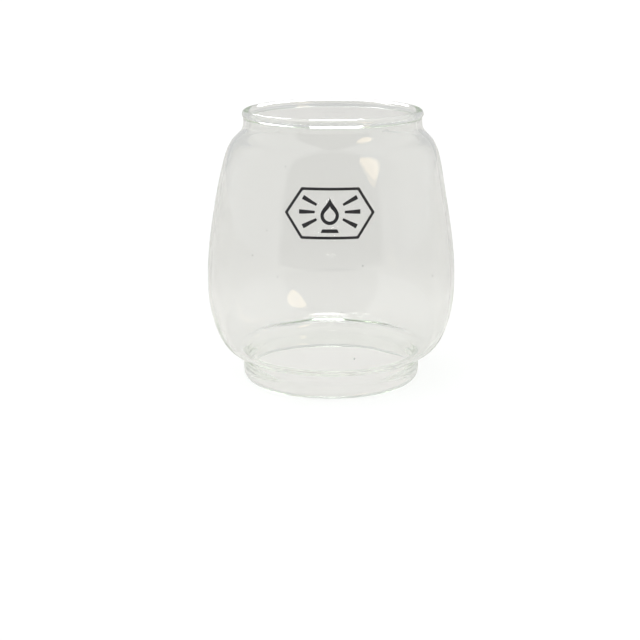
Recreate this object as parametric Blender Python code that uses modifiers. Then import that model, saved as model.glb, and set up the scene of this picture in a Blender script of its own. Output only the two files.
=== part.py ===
"""Clear glass globe of a hurricane lantern, with a fired enamel mark on its front.

Axis on Z, foot on z = 0, mark facing -Y. Run it in Blender 4.5:
blender --background --python part.py
"""

import math

import bmesh
import bpy
from mathutils import Vector

MM = 0.001

# Driving sizes of the glass, in metres
HEIGHT = 130.0 * MM
BELLY_RADIUS = 60.0 * MM
BELLY_Z = 45.4 * MM
COLLAR_RADIUS = 43.2 * MM      # the foot collar that drops into the burner plate
COLLAR_TOP_Z = 12.7 * MM
NECK_RADIUS = 42.3 * MM        # the mouth that the chimney hood closes
RIM_RADIUS = 42.9 * MM
WALL = 2.0 * MM                # collar, bowl and shoulder
NECK_WALL = 2.5 * MM
SHOULDER_Z = 96.5 * MM

# The two edges
HEEL_WIDTH = 1.7 * MM
HEEL_HEIGHT = 3.6 * MM
FOOT_LAND = 0.7 * MM           # ground flat ring that the globe stands on
TOE_WIDTH = 1.3 * MM           # the same rounding on the inside of the foot
TOE_HEIGHT = 2.6 * MM
FOOT_INNER_RADIUS = COLLAR_RADIUS - HEEL_WIDTH - FOOT_LAND - TOE_WIDTH
RIM_ROUND = 1.8 * MM           # the fire-polished rim is nearly a round rod
RIM_LAND = 1.0 * MM            # but a little flat on top
RIM_FILLET = 0.8 * MM
FILLET = 2.4 * MM              # between the collar and the bowl

# Where the outer wall turns, from the neck down to the collar. The slope is how steeply
# the wall runs down there, from 0 (outward) through 90 (straight down) to 180 (inward).
# The reach says how far the bend carries above and below; steps is the facets to the next turn.
WALL_TURNS = [
    {"at": (NECK_RADIUS, 124.8 * MM), "slope": 90.0, "reach": (0.0, 3.6 * MM), "steps": 4},
    {"at": (45.9 * MM, 117.8 * MM), "slope": 42.1, "reach": (3.6 * MM, 5.2 * MM), "steps": 5},
    {"at": (53.8 * MM, SHOULDER_Z), "slope": 78.9, "reach": (13.2 * MM, 33.8 * MM), "steps": 6},
    {"at": (BELLY_RADIUS, BELLY_Z), "slope": 90.0, "reach": (9.7 * MM, 11.0 * MM), "steps": 9},
    {"at": (COLLAR_RADIUS + FILLET, COLLAR_TOP_Z), "slope": 172.0, "reach": (10.6 * MM, 1.4 * MM),
     "steps": 4},
    {"at": (COLLAR_RADIUS, COLLAR_TOP_Z - FILLET), "slope": 90.0, "reach": (1.4 * MM, 0.0)},
]

# Below the corner of the collar the inside swells into the thicker foot
FOOT_INNER_Z = 3.2 * MM
INNER_REACHES = (3.0 * MM, 2.4 * MM)

SEGMENTS = 64
INNER_STEPS = 4
RIM_STEPS = 5
FILLET_STEPS = 2
ROUND_REACH = 0.55             # Bezier reach, over the radius, that draws a quarter circle

# The mark: an elongated hexagon round a flame on its burner, with rays on both sides
MARK_Z = 91.1 * MM
MARK_HALF_WIDTH = 20.0 * MM
MARK_HALF_HEIGHT = 11.2 * MM
MARK_LINE = 1.2 * MM
MARK_POINT = 7.2 * MM          # how far the hexagon's two points stand out from its sides
FLAME_HEIGHT = 12.4 * MM
FLAME_HALF_WIDTH = 4.1 * MM
FLAME_LINE = 1.5 * MM
FLAME_HOLE_HEIGHT = 6.9 * MM
FLAME_Z = 1.3 * MM             # middle of the flame above the middle of the mark
BURNER_HALF_WIDTH = 4.1 * MM
BURNER_HEIGHT = 1.6 * MM
BURNER_Z = -7.6 * MM
RAY_ANGLES = (-28, 0, 28)      # degrees above the horizontal
RAY_START = 6.6 * MM
RAY_LENGTH = 7.0 * MM
RAY_WIDTHS = (1.1 * MM, 2.0 * MM)
PRINT_GAP = 0.3 * MM           # clearance between touching solids
PRINT_THICKNESS = 0.3 * MM


def clear_scene():
    for item in list(bpy.data.objects):
        bpy.data.objects.remove(item, do_unlink=True)


def new_collection(name):
    collection = bpy.data.collections.new(name)
    bpy.context.scene.collection.children.link(collection)
    return collection


def make_material(name, color, roughness, transmission=0.0, ior=1.5):
    material = bpy.data.materials.new(name)
    material.use_nodes = True
    shader = material.node_tree.nodes["Principled BSDF"]
    shader.inputs["Base Color"].default_value = (*color, 1.0)
    shader.inputs["Roughness"].default_value = roughness
    shader.inputs["Metallic"].default_value = 0.0
    shader.inputs["Transmission Weight"].default_value = transmission
    shader.inputs["IOR"].default_value = ior
    material.diffuse_color = (*color, 1.0)
    return material


# ---- curves in the (radius, height) plane ----

def heading(slope_degrees):
    slope = math.radians(slope_degrees)
    return Vector((math.cos(slope), -math.sin(slope)))


def bezier(start, start_reach, end, end_reach, steps):
    """Points after start, up to and including end. The reaches are vectors to the handles."""
    start, end = Vector(start), Vector(end)
    handle_a, handle_b = start + start_reach, end + end_reach
    points = []
    for step in range(1, steps + 1):
        t = step / steps
        s = 1.0 - t
        points.append(start * s**3 + handle_a * (3 * s * s * t) + handle_b * (3 * s * t * t) + end * t**3)
    return points


def quarter(center, radius_r, radius_z, start_degrees, steps):
    """Points of a clockwise quarter ellipse, both ends included."""
    points = []
    for step in range(steps + 1):
        angle = math.radians(start_degrees - 90.0 * step / steps)
        across = center[0] + radius_r * math.cos(angle)
        height = center[1] + radius_z * math.sin(angle)
        points.append(Vector((across, height)))
    return points


def body_wall():
    """Outer wall from the neck down to the top of the heel."""
    points = [Vector(WALL_TURNS[0]["at"])]
    for turn, following in zip(WALL_TURNS, WALL_TURNS[1:]):
        leaving = heading(turn["slope"]) * turn["reach"][1]
        arriving = heading(following["slope"]) * -following["reach"][0]
        points += bezier(turn["at"], leaving, following["at"], arriving, turn["steps"])
    points.append(Vector((COLLAR_RADIUS, HEEL_HEIGHT)))
    return points


def wall_at(height):
    """Thickness of the glass: even in the body, thicker towards the mouth."""
    rise = max(0.0, (height - SHOULDER_Z) / (HEIGHT - SHOULDER_Z))
    return WALL + (NECK_WALL - WALL) * rise


def offset_wall(points, distance_at):
    """The points moved square to the wall; distance_at(height) > 0 moves them outward."""
    moved = []
    for index, point in enumerate(points):
        before = points[max(index - 1, 0)]
        after = points[min(index + 1, len(points) - 1)]
        along = (after - before).normalized()
        outward = Vector((-along.y, along.x))
        moved.append(point + outward * distance_at(point.y))
    return moved


def inner_wall(outer_wall):
    """Inner side from under the rim down to the rounding of the foot."""
    body = offset_wall(outer_wall, lambda height: -wall_at(height))
    foot = Vector((FOOT_INNER_RADIUS, FOOT_INNER_Z))
    down = Vector((0.0, -INNER_REACHES[0]))
    return body + bezier(body[-1], down, foot, Vector((0.0, INNER_REACHES[1])), INNER_STEPS)


def rim_side(wall_radius, side):
    """Rim from its top down one side (1 outer, -1 inner) to where it meets the upright wall."""
    land_half = RIM_LAND / 2
    start = math.acos(land_half / RIM_ROUND)
    middle = Vector((RIM_RADIUS - RIM_ROUND, HEIGHT - math.sin(start) * RIM_ROUND))
    across = side * (wall_radius - middle.x) + RIM_FILLET
    down = math.sqrt((RIM_ROUND + RIM_FILLET)**2 - across**2)
    end = math.atan2(-down, across)
    points = []
    for step in range(RIM_STEPS + 1):
        angle = start + (end - start) * step / RIM_STEPS
        points.append(middle + Vector((side * math.cos(angle), math.sin(angle))) * RIM_ROUND)
    fillet_middle = middle + Vector((side * across, -down))
    for step in range(1, FILLET_STEPS + 1):
        angle = end * (1.0 - step / FILLET_STEPS)
        points.append(fillet_middle - Vector((side * math.cos(angle), math.sin(angle))) * RIM_FILLET)
    return points


def globe_profile():
    """Closed outline of the glass: outer side downwards, foot, inner side upwards, rim."""
    wall = body_wall()
    heel = quarter((COLLAR_RADIUS - HEEL_WIDTH, HEEL_HEIGHT), HEEL_WIDTH, HEEL_HEIGHT, 0.0, 5)[1:]
    toe = quarter((FOOT_INNER_RADIUS + TOE_WIDTH, TOE_HEIGHT), TOE_WIDTH, TOE_HEIGHT, -90.0, 4)
    inner = inner_wall(wall[:-1])[::-1]
    rim_inner = rim_side(inner[-1].x, -1)[::-1]
    return rim_side(NECK_RADIUS, 1) + wall + heel + toe + inner + rim_inner


def turned(name, outline, collection, material):
    """A closed outline turned about Z."""
    mesh = bpy.data.meshes.new(name)
    count = len(outline)
    edges = [(index, (index + 1) % count) for index in range(count)]
    mesh.from_pydata([(point.x, 0.0, point.y) for point in outline], edges, [])
    item = bpy.data.objects.new(name, mesh)
    collection.objects.link(item)
    screw = item.modifiers.new("Turn", "SCREW")
    screw.axis = "Z"
    screw.angle = math.tau
    screw.steps = SEGMENTS
    screw.render_steps = SEGMENTS
    screw.use_smooth_shade = True
    screw.merge_threshold = 0.00001
    mesh.materials.append(material)
    return item


# ---- the mark ----

def hexagon(half_width, half_height):
    """Elongated hexagon, pointed left and right."""
    side = half_width - MARK_POINT * half_height / MARK_HALF_HEIGHT
    return [(half_width, 0.0), (side, half_height), (-side, half_height),
            (-half_width, 0.0), (-side, -half_height), (side, -half_height)]


def flame(height, half_width, foot_z, steps=7):
    """Teardrop with a round foot: the right half goes up to the tip, the left comes back."""
    foot = Vector((0.0, foot_z))
    belly = Vector((half_width, foot_z + half_width))
    tip = Vector((0.0, foot_z + height))
    reach = half_width * ROUND_REACH
    up = Vector((0.0, height / 4))
    right = bezier(foot, Vector((reach, 0.0)), belly, Vector((0.0, -reach)), steps)
    right += bezier(belly, up, tip, -up, steps)
    left = [(-point.x, point.y) for point in right[-2::-1]]
    return [tuple(foot)] + [tuple(point) for point in right] + left


def bar(half_width, height, middle_z):
    """Flat bar whose ends slope in towards its top."""
    low, high = middle_z - height / 2, middle_z + height / 2
    top_half = half_width - height / 2
    return [(half_width, low), (top_half, high), (-top_half, high), (-half_width, low)]


def ray(angle_degrees, side):
    """Stroke that widens away from the flame; side is 1 (right) or -1 (left)."""
    angle = math.radians(angle_degrees)
    along = Vector((side * math.cos(angle), math.sin(angle)))
    across = Vector((-along.y, along.x))
    middle = Vector((0.0, FLAME_Z / 2))
    near = middle + along * RAY_START
    far = middle + along * (RAY_START + RAY_LENGTH)
    near_half, far_half = (across * width / 2 for width in RAY_WIDTHS)
    corners = [near - near_half, far - far_half, far + far_half, near + near_half]
    return [tuple(corner) for corner in corners]


def outline_cutter(name, outlines, collection):
    """A block of the given outlines, standing across the front wall of the glass."""
    curve = bpy.data.curves.new(name, "CURVE")
    curve.dimensions = "2D"
    curve.fill_mode = "BOTH"
    curve.extrude = BELLY_RADIUS / 2
    for outline in outlines:
        spline = curve.splines.new("POLY")
        spline.points.add(len(outline) - 1)
        for point, (x, z) in zip(spline.points, outline):
            point.co = (x, z, 0.0, 1.0)
        spline.use_cyclic_u = True
    flat = bpy.data.objects.new(name, curve)
    flat.location = (0.0, -BELLY_RADIUS, MARK_Z)
    flat.rotation_euler = (math.radians(90), 0.0, 0.0)
    collection.objects.link(flat)
    bpy.context.view_layer.update()

    graph = bpy.context.evaluated_depsgraph_get()
    mesh = bpy.data.meshes.new_from_object(flat.evaluated_get(graph))
    weld = bmesh.new()
    weld.from_mesh(mesh)
    bmesh.ops.remove_doubles(weld, verts=weld.verts, dist=0.00001)
    bmesh.ops.recalc_face_normals(weld, faces=weld.faces)
    weld.to_mesh(mesh)
    weld.free()
    cutter = bpy.data.objects.new(name + "_cutter", mesh)
    cutter.matrix_world = flat.matrix_world
    cutter.hide_render = True
    cutter.display_type = "WIRE"
    collection.objects.link(cutter)
    bpy.data.objects.remove(flat, do_unlink=True)
    return cutter


def enamel_patch(name, outlines, collection, cutters, material):
    """A thin skin that follows the outer wall inside the given outlines."""
    wall = [point for point in body_wall() if abs(point.y - MARK_Z) < MARK_HALF_HEIGHT * 3]
    inner = offset_wall(wall, lambda height: PRINT_GAP)
    outer = offset_wall(wall, lambda height: PRINT_GAP + PRINT_THICKNESS)
    patch = turned(name, outer + inner[::-1], collection, material)
    cut = patch.modifiers.new("Outline", "BOOLEAN")
    cut.operation = "INTERSECT"
    cut.solver = "EXACT"
    cut.object = outline_cutter(name, outlines, cutters)
    return patch


def build_mark(collection, cutters, material):
    outer = hexagon(MARK_HALF_WIDTH, MARK_HALF_HEIGHT)
    slant = math.hypot(MARK_POINT, MARK_HALF_HEIGHT) / MARK_HALF_HEIGHT
    inner = hexagon(MARK_HALF_WIDTH - MARK_LINE * slant, MARK_HALF_HEIGHT - MARK_LINE)
    enamel_patch("mark_border", [outer, inner], collection, cutters, material)
    foot_z = FLAME_Z - FLAME_HEIGHT / 2
    flame_outer = flame(FLAME_HEIGHT, FLAME_HALF_WIDTH, foot_z)
    flame_inner = flame(FLAME_HOLE_HEIGHT, FLAME_HALF_WIDTH - FLAME_LINE, foot_z + FLAME_LINE)
    burner = bar(BURNER_HALF_WIDTH, BURNER_HEIGHT, BURNER_Z)
    enamel_patch("mark_flame", [flame_outer, flame_inner], collection, cutters, material)
    enamel_patch("mark_burner", [burner], collection, cutters, material)
    for side, side_name in ((-1, "left"), (1, "right")):
        for angle, level in zip(RAY_ANGLES, ("lower", "middle", "upper")):
            name = f"mark_ray_{side_name}_{level}"
            enamel_patch(name, [ray(angle, side)], collection, cutters, material)


def main():
    clear_scene()
    parts = new_collection("lantern_globe")
    cutters = new_collection("cutters")
    glass = make_material("clear_glass", (0.93, 0.97, 0.95), 0.03, transmission=1.0, ior=1.5)
    enamel = make_material("black_enamel", (0.02, 0.02, 0.022), 0.4)
    turned("globe_glass", globe_profile(), parts, glass)
    build_mark(parts, cutters, enamel)


main()
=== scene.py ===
"""Looks of the clear glass lantern globe: fine glass, printed mark, materials, light and camera.

Axis on Z, foot on z = 0, mark facing -Y, all in metres.
"""

import math

import bpy
from mathutils import Matrix, Vector, noise


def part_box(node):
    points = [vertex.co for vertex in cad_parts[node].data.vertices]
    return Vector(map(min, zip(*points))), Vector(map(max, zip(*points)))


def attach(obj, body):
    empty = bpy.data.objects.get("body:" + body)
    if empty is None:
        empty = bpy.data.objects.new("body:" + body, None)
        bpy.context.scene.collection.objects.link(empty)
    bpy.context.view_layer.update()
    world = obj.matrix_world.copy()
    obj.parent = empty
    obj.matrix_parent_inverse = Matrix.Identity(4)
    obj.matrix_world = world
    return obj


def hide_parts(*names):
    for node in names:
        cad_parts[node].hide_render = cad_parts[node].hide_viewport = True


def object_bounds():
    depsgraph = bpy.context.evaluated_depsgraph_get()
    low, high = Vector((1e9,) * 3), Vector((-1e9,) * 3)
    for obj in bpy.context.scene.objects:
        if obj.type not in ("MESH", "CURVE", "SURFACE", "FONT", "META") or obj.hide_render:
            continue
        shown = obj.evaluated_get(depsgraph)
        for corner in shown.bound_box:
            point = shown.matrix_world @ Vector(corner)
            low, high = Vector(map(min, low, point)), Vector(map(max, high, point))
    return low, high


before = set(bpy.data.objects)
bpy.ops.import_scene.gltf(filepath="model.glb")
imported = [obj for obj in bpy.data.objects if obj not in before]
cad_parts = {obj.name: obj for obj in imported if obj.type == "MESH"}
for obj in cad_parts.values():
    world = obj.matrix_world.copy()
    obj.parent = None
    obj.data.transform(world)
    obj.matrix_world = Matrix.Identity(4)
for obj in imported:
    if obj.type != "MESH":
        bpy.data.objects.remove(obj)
cad_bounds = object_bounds()

MM = 0.001
GLASS_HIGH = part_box("globe_glass")[1]

# Sizes of the glass, the same as in the CAD model but for the rim, which is a little thicker
# inward here and has no flat on top
HEIGHT = GLASS_HIGH.z
BELLY_RADIUS = GLASS_HIGH.x
BELLY_Z = 45.4 * MM
COLLAR_RADIUS = 43.2 * MM
COLLAR_TOP_Z = 12.7 * MM
NECK_RADIUS = 42.3 * MM
RIM_RADIUS = 42.9 * MM
RIM_ROUND = 2.0 * MM
RIM_FILLET = 0.8 * MM
WALL = 2.0 * MM
NECK_WALL = 2.5 * MM
SHOULDER_Z = 96.5 * MM
HEEL_WIDTH = 1.7 * MM
HEEL_HEIGHT = 3.6 * MM
FOOT_LAND = 0.7 * MM
TOE_WIDTH = 1.3 * MM
TOE_HEIGHT = 2.6 * MM
FOOT_INNER_RADIUS = COLLAR_RADIUS - HEEL_WIDTH - FOOT_LAND - TOE_WIDTH
FILLET = 2.4 * MM              # between the collar and the bowl

# Where the outer wall turns, from the neck down to the collar. The slope is how steeply
# the wall runs down there, from 0 (outward) through 90 (straight down) to 180 (inward).
# The reach says how far the bend carries above and below; steps is the facets to the next turn.
WALL_TURNS = [
    {"at": (NECK_RADIUS, 124.8 * MM), "slope": 90.0, "reach": (0.0, 3.6 * MM), "steps": 16},
    {"at": (45.9 * MM, 117.8 * MM), "slope": 42.1, "reach": (3.6 * MM, 5.2 * MM), "steps": 24},
    {"at": (53.8 * MM, SHOULDER_Z), "slope": 78.9, "reach": (13.2 * MM, 33.8 * MM), "steps": 32},
    {"at": (BELLY_RADIUS, BELLY_Z), "slope": 90.0, "reach": (9.7 * MM, 11.0 * MM), "steps": 40},
    {"at": (COLLAR_RADIUS + FILLET, COLLAR_TOP_Z), "slope": 172.0, "reach": (10.6 * MM, 1.4 * MM),
     "steps": 10},
    {"at": (COLLAR_RADIUS, COLLAR_TOP_Z - FILLET), "slope": 90.0, "reach": (1.4 * MM, 0.0)},
]
FOOT_INNER_Z = 3.2 * MM
INNER_REACHES = (3.0 * MM, 2.4 * MM)

SEGMENTS = 256
RIM_STEPS = 24
FILLET_STEPS = 8
INNER_STEPS = 24
HEEL_STEPS = 16
TOE_STEPS = 12
GLASS_SHARP_ANGLE = 38         # degrees between faces, from which an edge is drawn sharp

# How the blown glass departs from a true turned shape
NECK_SHIFT = 0.8 * MM          # the neck and mouth stand this far to the +X side
NECK_SHIFT_HEIGHTS = (88.0 * MM, 122.0 * MM)
MOUTH_TILT = 0.6 * MM          # the front of the rim stands this much higher than the back
MOUTH_TILT_HEIGHTS = (116.0 * MM, 127.0 * MM)
WALL_WAVE = 0.10 * MM          # uneven thickness, all on the inside
WALL_WAVE_SIZE = 16.0 * MM

# Seeds, the small bubbles left in the glass: degrees round from the front, then height and
# radius in millimetres
SEEDS = [(4.5, 47.0, 0.34), (11.0, 24.0, 0.40), (-31.0, 82.0, 0.22), (-38.0, 70.0, 0.26),
         (-24.0, 62.0, 0.20), (27.0, 105.0, 0.22), (52.0, 58.0, 0.30), (112.0, 88.0, 0.32),
         (163.0, 40.0, 0.36), (207.0, 96.0, 0.28), (248.0, 52.0, 0.30)]
SEED_STRETCH = 1.4             # its half height over its radius
SEED_RINGS = 5
SEED_SIDES = 8

# The mark: an elongated hexagon round a flame on its burner, with rays on both sides
MARK_Z = 91.1 * MM
MARK_SHIFT = -0.6 * MM         # printed a little off the middle
MARK_HALF_WIDTH = 20.0 * MM
MARK_HALF_HEIGHT = 11.2 * MM
MARK_LINE = 1.2 * MM
MARK_POINT = 7.2 * MM          # how far the hexagon's two points stand out from its sides
FLAME_HEIGHT = 12.4 * MM
FLAME_HALF_WIDTH = 4.1 * MM
FLAME_LINE = 1.5 * MM
FLAME_HOLE_HEIGHT = 6.9 * MM
FLAME_Z = 1.3 * MM             # middle of the flame above the middle of the mark
BURNER_HALF_WIDTH = 4.1 * MM
BURNER_HEIGHT = 1.6 * MM
BURNER_Z = -7.6 * MM
RAY_ANGLES = (-28, 0, 28)      # degrees above the horizontal
RAY_START = 6.6 * MM
RAY_LENGTH = 7.0 * MM
RAY_WIDTHS = (1.1 * MM, 2.0 * MM)
ROUND_REACH = 0.55             # Bezier reach, over the radius, that draws a quarter circle
CORNER_ROUND = 0.45 * MM
CORNER_STEPS = 4
FLAME_STEPS = 20
BORDER_SIDE_STEPS = 24
PATCH_SIDE_STEPS = 8
PATCH_CORE = 0.02              # a filled patch closes on its own outline, shrunk to this

# The printed layer: its clearance, its thickness, and the rows of points from its outer
# outline to its inner one, closest together where it thins out at the two edges
PRINT_LIFT = 0.01 * MM
PRINT_THICKNESS = 0.06 * MM
PRINT_ROWS = (0.0, 0.03, 0.09, 0.2, 0.5, 0.8, 0.91, 0.97, 1.0)
PRINT_CROWN_POWER = 6          # the higher, the flatter its top and the steeper its edges
PRINT_SHARP_ANGLE = 60

# Glass and enamel
GLASS_TINT = (0.985, 0.988, 0.983, 1.0)
GLASS_IOR = 1.52
GLASS_DEPTH_COLOR = (0.72, 0.85, 0.67, 1.0)    # the green of long paths through the glass
GLASS_DEPTH_DENSITY = 12.0
GLASS_SHADOW_TINT = (0.99, 0.99, 0.99, 1.0)
SMUDGE_SCALE = 60.0
SMUDGE_DETAIL = 5.0
SMUDGE_SPAN = (0.5, 0.8)       # of the noise, from clean glass to the strongest smudge
SMUDGE_ROUGHNESS = 0.05        # in the strongest smudge; clean glass has none
GROUND_HEIGHT = 0.25 * MM      # the foot is ground flat, and frosted by that, up to here
GROUND_ROUGHNESS = 0.5
ENAMEL_GRAIN_SCALE = 2200.0
ENAMEL_GRAIN_DETAIL = 4.0
ENAMEL_TONES = [(0.35, (0.012, 0.012, 0.014, 1.0)), (0.75, (0.045, 0.045, 0.048, 1.0))]
ENAMEL_ROUGHNESS = (0.28, 0.5)

# The floor: white where it is seen directly, grey in and through the glass, and lighter there in a
# painted pool of light round the glass
FLOOR_HALF_SIZE = 6.0
FLOOR_GAP = 0.02 * MM
FLOOR_ROUGHNESS = 0.9
FLOOR_SEEN_TONE = (0.97, 0.97, 0.97, 1.0)
# The first tone is a painted pool of light round the glass; the second is the floor's grey beyond it
FLOOR_PAINTED_POOL_TONE = (0.80, 0.79, 0.77, 1.0)
FLOOR_FAR_TONE = (0.705, 0.696, 0.68, 1.0)
FLOOR_PAINTED_POOL_RADII = (0.13, 0.28)                # where the painted pool of light starts to fade, and ends

# Brightness of the room round the horizon: azimuth in degrees (0 is -Y, +X is positive), grey
ROOM_TONES = [(-180, 0.65), (-140, 0.65), (-120, 0.88), (-52, 0.86), (-46, 0.20), (46, 0.20),
              (52, 0.70), (70, 0.72), (76, 0.88), (120, 0.90), (140, 0.65), (180, 0.65)]

# The sun lights the floor, and the three area lights make the bright reflections on the glass
WHITE = (1.0, 1.0, 1.0)
WARM = (1.0, 0.80, 0.52)
SUN_STRENGTH = 3.55
SUN_SPREAD = 60                # degrees
SUN_TILT = (12, -14)           # degrees about X and Y
OVERHEAD_CARD_PLACE = Vector((0.0025, 0.050, 0.170))
OVERHEAD_CARD_SIZE = (0.032, 0.046)
OVERHEAD_CARD_RADIANCE = 24.0
LEFT_CARD_PLACE = Vector((-0.036, 0.030, 0.160))
LEFT_CARD_SIZE = (0.010, 0.034)
LEFT_CARD_RADIANCE = 20.0
WARM_SOFTBOX_BEARING = (44.0, 33.5)            # azimuth and elevation, 1 m from the glass
WARM_SOFTBOX_SIZE = (0.30, 0.66)
WARM_SOFTBOX_RADIANCE = 2.4
GLASS_MIDDLE = Vector((0.0, 0.0, HEIGHT / 2))
RIM_AIM = Vector((0.0, 0.0, HEIGHT * 0.7))

# Light has to get out of the thick rims, so it is followed through many bounces
GLASS_BOUNCES = 80
TRANSPARENT_BOUNCES = 32

CAMERA_PLACE = (0.0, -0.650, 0.2137)
CAMERA_LENS = 77.15            # millimetres, as is the sensor
CAMERA_SENSOR = 36.0
CAMERA_SIGHT = 50.0            # how far it sees
CAMERA_TURN = 0.48             # degrees, as are the two below
CAMERA_DOWNWARD = 16.07
CAMERA_ROLL = -0.15


# ---- curves in the (radius, height) plane ----

def heading(slope_degrees):
    slope = math.radians(slope_degrees)
    return Vector((math.cos(slope), -math.sin(slope)))


def bezier(start, start_reach, end, end_reach, steps):
    """Points after start, up to and including end. The reaches are vectors to the handles."""
    start, end = Vector(start), Vector(end)
    handle_a, handle_b = start + start_reach, end + end_reach
    points = []
    for step in range(1, steps + 1):
        t = step / steps
        s = 1.0 - t
        points.append(start * s**3 + handle_a * (3 * s * s * t) + handle_b * (3 * s * t * t) + end * t**3)
    return points


def quarter(center, radius_r, radius_z, start_degrees, steps):
    """Points of a clockwise quarter ellipse, both ends included."""
    points = []
    for step in range(steps + 1):
        angle = math.radians(start_degrees - 90.0 * step / steps)
        across = center[0] + radius_r * math.cos(angle)
        height = center[1] + radius_z * math.sin(angle)
        points.append(Vector((across, height)))
    return points


def body_wall():
    """Outer wall from the neck down to the top of the heel."""
    points = [Vector(WALL_TURNS[0]["at"])]
    for turn, following in zip(WALL_TURNS, WALL_TURNS[1:]):
        leaving = heading(turn["slope"]) * turn["reach"][1]
        arriving = heading(following["slope"]) * -following["reach"][0]
        points += bezier(turn["at"], leaving, following["at"], arriving, turn["steps"])
    points.append(Vector((COLLAR_RADIUS, HEEL_HEIGHT)))
    return points


def radius_at(wall, height):
    """Outer radius of the glass at a height."""
    for upper, lower in zip(wall, wall[1:]):
        if upper.y >= height >= lower.y:
            share = (upper.y - height) / max(upper.y - lower.y, 1e-9)
            return upper.x + (lower.x - upper.x) * share
    raise ValueError("no wall at this height")


def wall_at(height):
    """Thickness of the glass: even in the body, thicker towards the mouth."""
    rise = max(0.0, (height - SHOULDER_Z) / (HEIGHT - SHOULDER_Z))
    return WALL + (NECK_WALL - WALL) * rise


def offset_wall(points, distance_at):
    """The points moved square to the wall; distance_at(height) > 0 moves them outward."""
    moved = []
    for index, point in enumerate(points):
        before = points[max(index - 1, 0)]
        after = points[min(index + 1, len(points) - 1)]
        along = (after - before).normalized()
        outward = Vector((-along.y, along.x))
        moved.append(point + outward * distance_at(point.y))
    return moved


def inner_wall(outer_wall):
    """Inner side from under the rim down to the rounding of the foot."""
    body = offset_wall(outer_wall, lambda height: -wall_at(height))
    foot = Vector((FOOT_INNER_RADIUS, FOOT_INNER_Z))
    down = Vector((0.0, -INNER_REACHES[0]))
    return body + bezier(body[-1], down, foot, Vector((0.0, INNER_REACHES[1])), INNER_STEPS)


def rim_side(wall_radius, side):
    """Rim from its top down one side (1 outer, -1 inner) to where it meets the upright wall."""
    middle = Vector((RIM_RADIUS - RIM_ROUND, HEIGHT - RIM_ROUND))
    across = side * (wall_radius - middle.x) + RIM_FILLET
    down = math.sqrt((RIM_ROUND + RIM_FILLET)**2 - across**2)
    turn = math.atan2(-down, across)
    points = []
    for step in range(RIM_STEPS + 1):
        angle = math.radians(90.0) + (turn - math.radians(90.0)) * step / RIM_STEPS
        points.append(middle + Vector((side * math.cos(angle), math.sin(angle))) * RIM_ROUND)
    fillet_middle = middle + Vector((side * across, -down))
    for step in range(1, FILLET_STEPS + 1):
        angle = turn * (1.0 - step / FILLET_STEPS)
        points.append(fillet_middle - Vector((side * math.cos(angle), math.sin(angle))) * RIM_FILLET)
    return points


def globe_outline():
    """Outer side downwards, then foot, inner side upwards and rim, and which points are inner."""
    wall = body_wall()
    heel_middle = (COLLAR_RADIUS - HEEL_WIDTH, HEEL_HEIGHT)
    heel = quarter(heel_middle, HEEL_WIDTH, HEEL_HEIGHT, 0.0, HEEL_STEPS)[1:]
    toe_middle = (FOOT_INNER_RADIUS + TOE_WIDTH, TOE_HEIGHT)
    toe = quarter(toe_middle, TOE_WIDTH, TOE_HEIGHT, -90.0, TOE_STEPS)
    outer_side = rim_side(NECK_RADIUS, 1) + wall + heel + toe
    inner_side = inner_wall(wall[:-1])[::-1]
    rim_inner = rim_side(inner_side[-1].x, -1)[:0:-1]
    inner_points = range(len(outer_side), len(outer_side) + len(inner_side))
    return outer_side + inner_side + rim_inner, inner_points


# ---- the glass ----

def eased(height, low, high):
    """0 below low, 1 above high, smooth between."""
    rise = min(max((height - low) / (high - low), 0.0), 1.0)
    return rise * rise * (3.0 - 2.0 * rise)


def settled(point):
    """A point of the true shape, moved to where the glass with its crooked neck has it."""
    shift = NECK_SHIFT * eased(point.z, *NECK_SHIFT_HEIGHTS)
    lift = MOUTH_TILT / 2 * (1.0 - point.y / RIM_RADIUS) * eased(point.z, *MOUTH_TILT_HEIGHTS)
    return Vector((point.x + shift, point.y, point.z + lift))


def add_turned_glass(vertices, faces):
    """The outline turned about Z, with its inner side made uneven."""
    outline, inner_points = globe_outline()
    count = len(outline)
    for segment in range(SEGMENTS):
        angle = math.tau * segment / SEGMENTS
        for index, point in enumerate(outline):
            across = point.x
            if index in inner_points:
                spot = Vector((math.cos(angle) * across, math.sin(angle) * across, point.y))
                across += WALL_WAVE * noise.noise(spot / WALL_WAVE_SIZE)
            vertex = Vector((across * math.cos(angle), across * math.sin(angle), point.y))
            vertices.append(settled(vertex))
    for segment in range(SEGMENTS):
        here, beside = segment * count, (segment + 1) % SEGMENTS * count
        for index in range(count):
            below = (index + 1) % count
            faces.append((here + index, here + below, beside + below, beside + index))


def add_seed(vertices, faces, wall, azimuth_degrees, height, radius):
    """A small closed bubble in the wall, a little longer upright; its faces look into it."""
    azimuth = math.radians(azimuth_degrees)
    across = radius_at(wall, height) - WALL / 2
    middle = Vector((math.sin(azimuth) * across, -math.cos(azimuth) * across, height))
    first = len(vertices)
    for ring in range(SEED_RINGS + 1):
        tilt = math.pi * (ring + 0.5) / (SEED_RINGS + 1)
        flat = math.sin(tilt) * radius
        rise = math.cos(tilt) * radius * SEED_STRETCH
        for side in range(SEED_SIDES):
            turn = math.tau * side / SEED_SIDES
            spot = Vector((math.cos(turn) * flat, math.sin(turn) * flat, rise))
            vertices.append(settled(middle + spot))
    for ring in range(SEED_RINGS):
        here, below = first + ring * SEED_SIDES, first + (ring + 1) * SEED_SIDES
        for side in range(SEED_SIDES):
            beside = (side + 1) % SEED_SIDES
            faces.append((here + side, here + beside, below + beside, below + side))
    faces.append(tuple(range(first, first + SEED_SIDES)[::-1]))
    faces.append(tuple(range(first + SEED_RINGS * SEED_SIDES, first + (SEED_RINGS + 1) * SEED_SIDES)))


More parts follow.
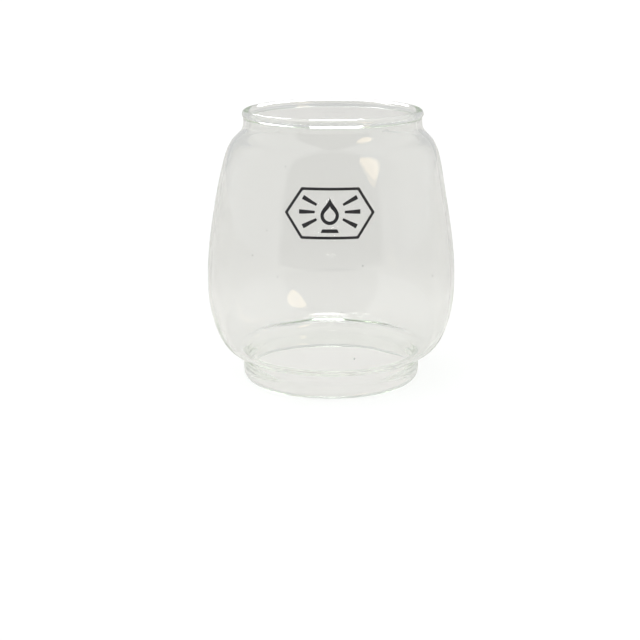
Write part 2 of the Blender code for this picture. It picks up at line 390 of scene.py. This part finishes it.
def globe_mesh():
    vertices, faces = [], []
    add_turned_glass(vertices, faces)
    wall = body_wall()
    for azimuth_degrees, height, radius in SEEDS:
        add_seed(vertices, faces, wall, azimuth_degrees, height * MM, radius * MM)
    mesh = bpy.data.meshes.new("lantern_globe_glass")
    mesh.from_pydata(vertices, [], faces)
    mesh.shade_smooth()
    mesh.set_sharp_from_angle(angle=math.radians(GLASS_SHARP_ANGLE))
    return mesh


def add_piece(name, mesh, material, replaced):
    piece = bpy.data.objects.new(name, mesh)
    bpy.context.scene.collection.objects.link(piece)
    mesh.materials.append(material)
    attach(piece, "root")
    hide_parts(*replaced)
    return piece


# ---- the mark ----

def hexagon(half_width, half_height):
    """Elongated hexagon, pointed left and right."""
    side = half_width - MARK_POINT * half_height / MARK_HALF_HEIGHT
    return [(half_width, 0.0), (side, half_height), (-side, half_height),
            (-half_width, 0.0), (-side, -half_height), (side, -half_height)]


def softened(corners, radius, side_steps):
    """A closed outline with rounded corners and the same number of points on every side."""
    points = []
    count = len(corners)
    for index in range(count):
        here = Vector(corners[index])
        following = Vector(corners[(index + 1) % count])
        back = (Vector(corners[index - 1]) - here).normalized() * radius
        ahead = (following - here).normalized() * radius
        for step in range(CORNER_STEPS + 1):
            t = step / CORNER_STEPS
            points.append((here + back) * (1 - t)**2 + here * (2 * t * (1 - t)) + (here + ahead) * t * t)
        start, end = here + ahead, following - ahead
        for step in range(1, side_steps):
            points.append(start.lerp(end, step / side_steps))
    return points


def shrunk(outline, share):
    """The outline drawn in towards its middle, for a filled patch."""
    middle = sum((Vector(point) for point in outline), Vector((0.0, 0.0))) / len(outline)
    return [middle + (Vector(point) - middle) * share for point in outline]


def flame(height, half_width, foot_z):
    """Teardrop with a round foot: the right half goes up to the tip, the left comes back."""
    foot = Vector((0.0, foot_z))
    belly = Vector((half_width, foot_z + half_width))
    tip = Vector((0.0, foot_z + height))
    reach = half_width * ROUND_REACH
    up = Vector((0.0, height / 4))
    right = bezier(foot, Vector((reach, 0.0)), belly, Vector((0.0, -reach)), FLAME_STEPS)
    right += bezier(belly, up, tip, -up, FLAME_STEPS)
    left = [Vector((-point.x, point.y)) for point in right[-2::-1]]
    return [foot] + right + left


def bar(half_width, height, middle_z):
    """Flat bar whose ends slope in towards its top."""
    low, high = middle_z - height / 2, middle_z + height / 2
    top_half = half_width - height / 2
    return [(half_width, low), (top_half, high), (-top_half, high), (-half_width, low)]


def ray(angle_degrees, side):
    """Stroke that widens away from the flame; side is 1 (right) or -1 (left)."""
    angle = math.radians(angle_degrees)
    along = Vector((side * math.cos(angle), math.sin(angle)))
    across = Vector((-along.y, along.x))
    middle = Vector((0.0, FLAME_Z / 2))
    near = middle + along * RAY_START
    far = middle + along * (RAY_START + RAY_LENGTH)
    near_half, far_half = (across * width / 2 for width in RAY_WIDTHS)
    return [near - near_half, far - far_half, far + far_half, near + near_half]


def draped_band(name, outer, inner, wall):
    """A closed band of enamel between two outlines of equal count, lying on the glass."""
    rows = []
    for share in PRINT_ROWS:
        crown = 1.0 - abs(2.0 * share - 1.0)**PRINT_CROWN_POWER
        rows.append((share, PRINT_LIFT + PRINT_THICKNESS * crown))
    vertices = []
    for outer_point, inner_point in zip(outer, inner):
        for share, lift in rows:
            flat = outer_point.lerp(inner_point, share) + Vector((MARK_SHIFT, 0.0))
            radius = radius_at(wall, MARK_Z + flat.y) + lift
            depth = math.sqrt(radius**2 - flat.x**2)
            vertices.append(settled(Vector((flat.x, -depth, MARK_Z + flat.y))))
    count, width = len(outer), len(rows)
    faces = []
    for index in range(count):
        here, beside = index * width, (index + 1) % count * width
        for row in range(width - 1):
            faces.append((here + row, beside + row, beside + row + 1, here + row + 1))
        faces.append((here + width - 1, beside + width - 1, beside, here))
    mesh = bpy.data.meshes.new(name)
    mesh.from_pydata(vertices, [], faces)
    mesh.validate()
    mesh.shade_smooth()
    mesh.set_sharp_from_angle(angle=math.radians(PRINT_SHARP_ANGLE))
    return mesh


def border_band():
    """The hexagon's line: its outer outline and its inner one."""
    slant = math.hypot(MARK_POINT, MARK_HALF_HEIGHT) / MARK_HALF_HEIGHT
    outer_corners = hexagon(MARK_HALF_WIDTH, MARK_HALF_HEIGHT)
    inner_corners = hexagon(MARK_HALF_WIDTH - MARK_LINE * slant, MARK_HALF_HEIGHT - MARK_LINE)
    outer = softened(outer_corners, CORNER_ROUND, BORDER_SIDE_STEPS)
    inner = softened(inner_corners, CORNER_ROUND, BORDER_SIDE_STEPS)
    return outer, inner


def flame_band():
    """The flame's line, thickest at its tip, round the hollow in the flame."""
    foot_z = FLAME_Z - FLAME_HEIGHT / 2
    outer = flame(FLAME_HEIGHT, FLAME_HALF_WIDTH, foot_z)
    inner = flame(FLAME_HOLE_HEIGHT, FLAME_HALF_WIDTH - FLAME_LINE, foot_z + FLAME_LINE)
    return outer, inner


def patch_band(corners):
    """A filled patch: its outline, and the small one in its middle that closes it."""
    outline = softened(corners, CORNER_ROUND / 2, PATCH_SIDE_STEPS)
    return outline, shrunk(outline, PATCH_CORE)


def build_mark(material):
    bands = {
        "mark_border": border_band(),
        "mark_flame": flame_band(),
        "mark_burner": patch_band(bar(BURNER_HALF_WIDTH, BURNER_HEIGHT, BURNER_Z)),
    }
    for side, side_name in ((-1, "left"), (1, "right")):
        for angle, level in zip(RAY_ANGLES, ("lower", "middle", "upper")):
            bands[f"mark_ray_{side_name}_{level}"] = patch_band(ray(angle, side))
    wall = body_wall()
    for name, (outer, inner) in bands.items():
        mesh = draped_band("enamel_" + name, outer, inner, wall)
        add_piece("enamel_" + name, mesh, material, [name])


# ---- materials ----

def new_material(name):
    material = bpy.data.materials.new(name)
    material.use_nodes = True
    nodes = material.node_tree.nodes
    return material, nodes, material.node_tree.links, nodes["Principled BSDF"]


def add_noise(nodes, links, scale, detail):
    """Cloudy noise fixed to the object, as a value from 0 to 1."""
    place = nodes.new("ShaderNodeTexCoord")
    cloud = nodes.new("ShaderNodeTexNoise")
    cloud.inputs["Scale"].default_value = scale
    cloud.inputs["Detail"].default_value = detail
    links.new(place.outputs["Object"], cloud.inputs["Vector"])
    return cloud.outputs["Fac"]


def add_range(nodes, links, value, source, target, blend="LINEAR"):
    """The value carried from the source range over to the target range."""
    scaled = nodes.new("ShaderNodeMapRange")
    scaled.interpolation_type = blend
    scaled.inputs["From Min"].default_value = source[0]
    scaled.inputs["From Max"].default_value = source[1]
    scaled.inputs["To Min"].default_value = target[0]
    scaled.inputs["To Max"].default_value = target[1]
    links.new(value, scaled.inputs["Value"])
    return scaled.outputs["Result"]


def add_seen_mix(nodes, links, hidden_color, seen_color):
    """The seen colour where the eye meets it directly, the other in and through the glass."""
    light_path = nodes.new("ShaderNodeLightPath")
    mix = nodes.new("ShaderNodeMix")
    mix.data_type = "RGBA"
    mix.inputs["B"].default_value = seen_color
    links.new(hidden_color, mix.inputs["A"])
    links.new(light_path.outputs["Is Camera Ray"], mix.inputs["Factor"])
    return mix.outputs["Result"]


def add_ramp(nodes, links, value, stops):
    """Colours blended along the value; a stop is a position and a colour."""
    ramp = nodes.new("ShaderNodeValToRGB")
    elements = ramp.color_ramp.elements
    while len(elements) < len(stops):
        elements.new(0.5)
    for element, (position, color) in zip(elements, stops):
        element.position = position
        element.color = color
    links.new(value, ramp.inputs["Fac"])
    return ramp.outputs["Color"]


def add_glass_roughness(nodes, links):
    """Faint smudges all over, and the frosted ground face under the foot."""
    smudge = add_noise(nodes, links, SMUDGE_SCALE, SMUDGE_DETAIL)
    dull = add_range(nodes, links, smudge, SMUDGE_SPAN, (0.0, SMUDGE_ROUGHNESS))
    place = nodes.new("ShaderNodeTexCoord")
    height = nodes.new("ShaderNodeSeparateXYZ")
    links.new(place.outputs["Object"], height.inputs["Vector"])
    ground_heights = (GROUND_HEIGHT / 2, GROUND_HEIGHT)
    ground = add_range(nodes, links, height.outputs["Z"], ground_heights, (GROUND_ROUGHNESS, 0.0))
    rougher = nodes.new("ShaderNodeMath")
    rougher.operation = "MAXIMUM"
    links.new(dull, rougher.inputs[0])
    links.new(ground, rougher.inputs[1])
    return rougher.outputs["Value"]


def glass_material():
    """Clear glass, greener the farther light goes in it, that lets the sun through to the floor."""
    material, nodes, links, shader = new_material("clear_lantern_glass")
    shader.inputs["Base Color"].default_value = GLASS_TINT
    shader.inputs["Transmission Weight"].default_value = 1.0
    shader.inputs["IOR"].default_value = GLASS_IOR
    links.new(add_glass_roughness(nodes, links), shader.inputs["Roughness"])
    absorb = nodes.new("ShaderNodeVolumeAbsorption")
    absorb.inputs["Color"].default_value = GLASS_DEPTH_COLOR
    absorb.inputs["Density"].default_value = GLASS_DEPTH_DENSITY
    output = nodes["Material Output"]
    links.new(absorb.outputs["Volume"], output.inputs["Volume"])

    light_path = nodes.new("ShaderNodeLightPath")
    clear = nodes.new("ShaderNodeBsdfTransparent")
    clear.inputs["Color"].default_value = GLASS_SHADOW_TINT
    either = nodes.new("ShaderNodeMixShader")
    links.new(light_path.outputs["Is Shadow Ray"], either.inputs["Fac"])
    links.new(shader.outputs["BSDF"], either.inputs[1])
    links.new(clear.outputs["BSDF"], either.inputs[2])
    links.new(either.outputs["Shader"], output.inputs["Surface"])
    return material


def enamel_material():
    """Fired black enamel with a fine grain in its tone and gloss."""
    material, nodes, links, shader = new_material("fired_black_enamel")
    grain = add_noise(nodes, links, ENAMEL_GRAIN_SCALE, ENAMEL_GRAIN_DETAIL)
    links.new(add_ramp(nodes, links, grain, ENAMEL_TONES), shader.inputs["Base Color"])
    gloss = add_range(nodes, links, grain, (0.0, 1.0), ENAMEL_ROUGHNESS)
    links.new(gloss, shader.inputs["Roughness"])
    return material


def floor_material():
    """Pale matt floor: white where it is seen directly, softer grey through and in the glass, lighter
    there in a painted pool of light round the glass.
    """
    material, nodes, links, shader = new_material("pale_floor")
    shader.inputs["Roughness"].default_value = FLOOR_ROUGHNESS
    shader.inputs["Specular IOR Level"].default_value = 0.0
    place = nodes.new("ShaderNodeTexCoord")
    away = nodes.new("ShaderNodeVectorMath")
    away.operation = "LENGTH"
    links.new(place.outputs["Object"], away.inputs[0])
    # Painted pool of light: the grey seen in the glass is lighter round the middle, where the glass
    # stands, and fades out between the two radii
    painted_pool = add_range(nodes, links, away.outputs["Value"], FLOOR_PAINTED_POOL_RADII, (0.0, 1.0), "SMOOTHSTEP")
    grey = nodes.new("ShaderNodeMix")
    grey.data_type = "RGBA"
    grey.inputs["A"].default_value = FLOOR_PAINTED_POOL_TONE
    grey.inputs["B"].default_value = FLOOR_FAR_TONE
    links.new(painted_pool, grey.inputs["Factor"])
    tone = add_seen_mix(nodes, links, grey.outputs["Result"], FLOOR_SEEN_TONE)
    links.new(tone, shader.inputs["Base Color"])
    return material


# ---- floor, light and camera ----

def build_floor():
    size = FLOOR_HALF_SIZE
    mesh = bpy.data.meshes.new("floor")
    corners = [(-size, -size, 0.0), (size, -size, 0.0), (size, size, 0.0), (-size, size, 0.0)]
    mesh.from_pydata(corners, [], [(0, 1, 2, 3)])
    floor = bpy.data.objects.new("floor", mesh)
    floor.location.z = cad_bounds[0][2] - FLOOR_GAP
    bpy.context.scene.collection.objects.link(floor)
    mesh.materials.append(floor_material())


def direction(azimuth_degrees, elevation_degrees):
    """Unit vector; azimuth 0 is -Y, where the camera stands, and grows towards +X."""
    azimuth, elevation = math.radians(azimuth_degrees), math.radians(elevation_degrees)
    flat = math.cos(elevation)
    return Vector((math.sin(azimuth) * flat, -math.cos(azimuth) * flat, math.sin(elevation)))


def add_sun():
    """Broad light from above that only the matt surfaces show."""
    sun = bpy.data.lights.new("overhead", "SUN")
    sun.energy = SUN_STRENGTH
    sun.angle = math.radians(SUN_SPREAD)
    sun.cycles.use_multiple_importance_sampling = False
    item = bpy.data.objects.new("overhead", sun)
    item.rotation_euler = (math.radians(SUN_TILT[0]), math.radians(SUN_TILT[1]), 0.0)
    item.visible_glossy = False
    item.visible_transmission = False
    bpy.context.scene.collection.objects.link(item)


def add_area_light(name, shape, place, aim, size, radiance, color):
    """A light seen only in and through the glass, not on the floor and not by the camera."""
    light = bpy.data.lights.new(name, "AREA")
    light.shape = shape
    light.size = size[0]
    light.size_y = size[1]
    light.color = color
    covered = math.pi / 4 if shape == "ELLIPSE" else 1.0
    light.energy = radiance * math.pi * size[0] * size[1] * covered
    item = bpy.data.objects.new(name, light)
    item.location = place
    item.rotation_euler = (aim - place).to_track_quat("-Z", "Y").to_euler()
    item.visible_camera = False
    item.visible_diffuse = False
    bpy.context.scene.collection.objects.link(item)


def studio_world():
    """A white room as the eye sees it, with the room's grey tones in and through the glass."""
    world = bpy.data.worlds.new("studio")
    world.use_nodes = True
    world.cycles_visibility.diffuse = False
    nodes, links = world.node_tree.nodes, world.node_tree.links
    place = nodes.new("ShaderNodeTexCoord")
    split = nodes.new("ShaderNodeSeparateXYZ")
    links.new(place.outputs["Generated"], split.inputs["Vector"])
    flip = nodes.new("ShaderNodeMath")
    flip.operation = "MULTIPLY"
    flip.inputs[1].default_value = -1.0
    links.new(split.outputs["Y"], flip.inputs[0])
    azimuth = nodes.new("ShaderNodeMath")
    azimuth.operation = "ARCTAN2"
    links.new(split.outputs["X"], azimuth.inputs[0])
    links.new(flip.outputs["Value"], azimuth.inputs[1])
    around = add_range(nodes, links, azimuth.outputs["Value"], (-math.pi, math.pi), (0.0, 1.0))
    stops = [((degrees + 180) / 360, (tone, tone, tone, 1.0)) for degrees, tone in ROOM_TONES]
    room = add_ramp(nodes, links, around, stops)
    seen = add_seen_mix(nodes, links, room, (*WHITE, 1.0))
    links.new(seen, nodes["Background"].inputs["Color"])
    return world


def build_lights():
    add_sun()
    add_area_light("overhead_card", "RECTANGLE", OVERHEAD_CARD_PLACE, RIM_AIM,
                   OVERHEAD_CARD_SIZE, OVERHEAD_CARD_RADIANCE, WHITE)
    add_area_light("left_card", "ELLIPSE", LEFT_CARD_PLACE, RIM_AIM,
                   LEFT_CARD_SIZE, LEFT_CARD_RADIANCE, WHITE)
    warm_softbox_place = GLASS_MIDDLE + direction(*WARM_SOFTBOX_BEARING)
    add_area_light("warm_softbox", "ELLIPSE", warm_softbox_place, GLASS_MIDDLE,
                   WARM_SOFTBOX_SIZE, WARM_SOFTBOX_RADIANCE, WARM)
    bpy.context.scene.world = studio_world()


def build_camera():
    data = bpy.data.cameras.new("camera")
    data.lens = CAMERA_LENS
    data.sensor_width = CAMERA_SENSOR
    data.clip_end = CAMERA_SIGHT
    camera = bpy.data.objects.new("camera", data)
    turn = Matrix.Rotation(math.radians(CAMERA_TURN), 4, "Z")
    tilt = Matrix.Rotation(math.radians(90.0 - CAMERA_DOWNWARD), 4, "X")
    roll = Matrix.Rotation(math.radians(CAMERA_ROLL), 4, "Z")
    camera.matrix_world = Matrix.Translation(CAMERA_PLACE) @ turn @ tilt @ roll
    bpy.context.scene.collection.objects.link(camera)
    bpy.context.scene.camera = camera


def set_up_light_paths():
    """Many bounces in the glass, and no noise from light that the glass focuses."""
    cycles = bpy.context.scene.cycles
    cycles.max_bounces = GLASS_BOUNCES
    cycles.glossy_bounces = GLASS_BOUNCES
    cycles.transmission_bounces = GLASS_BOUNCES
    cycles.transparent_max_bounces = TRANSPARENT_BOUNCES
    cycles.caustics_reflective = False
    cycles.caustics_refractive = False


set_up_light_paths()
build_camera()
build_floor()
build_lights()
add_piece("lantern_globe_glass", globe_mesh(), glass_material(), ["globe_glass"])
build_mark(enamel_material())
bpy.context.scene.view_settings.view_transform = "Standard"
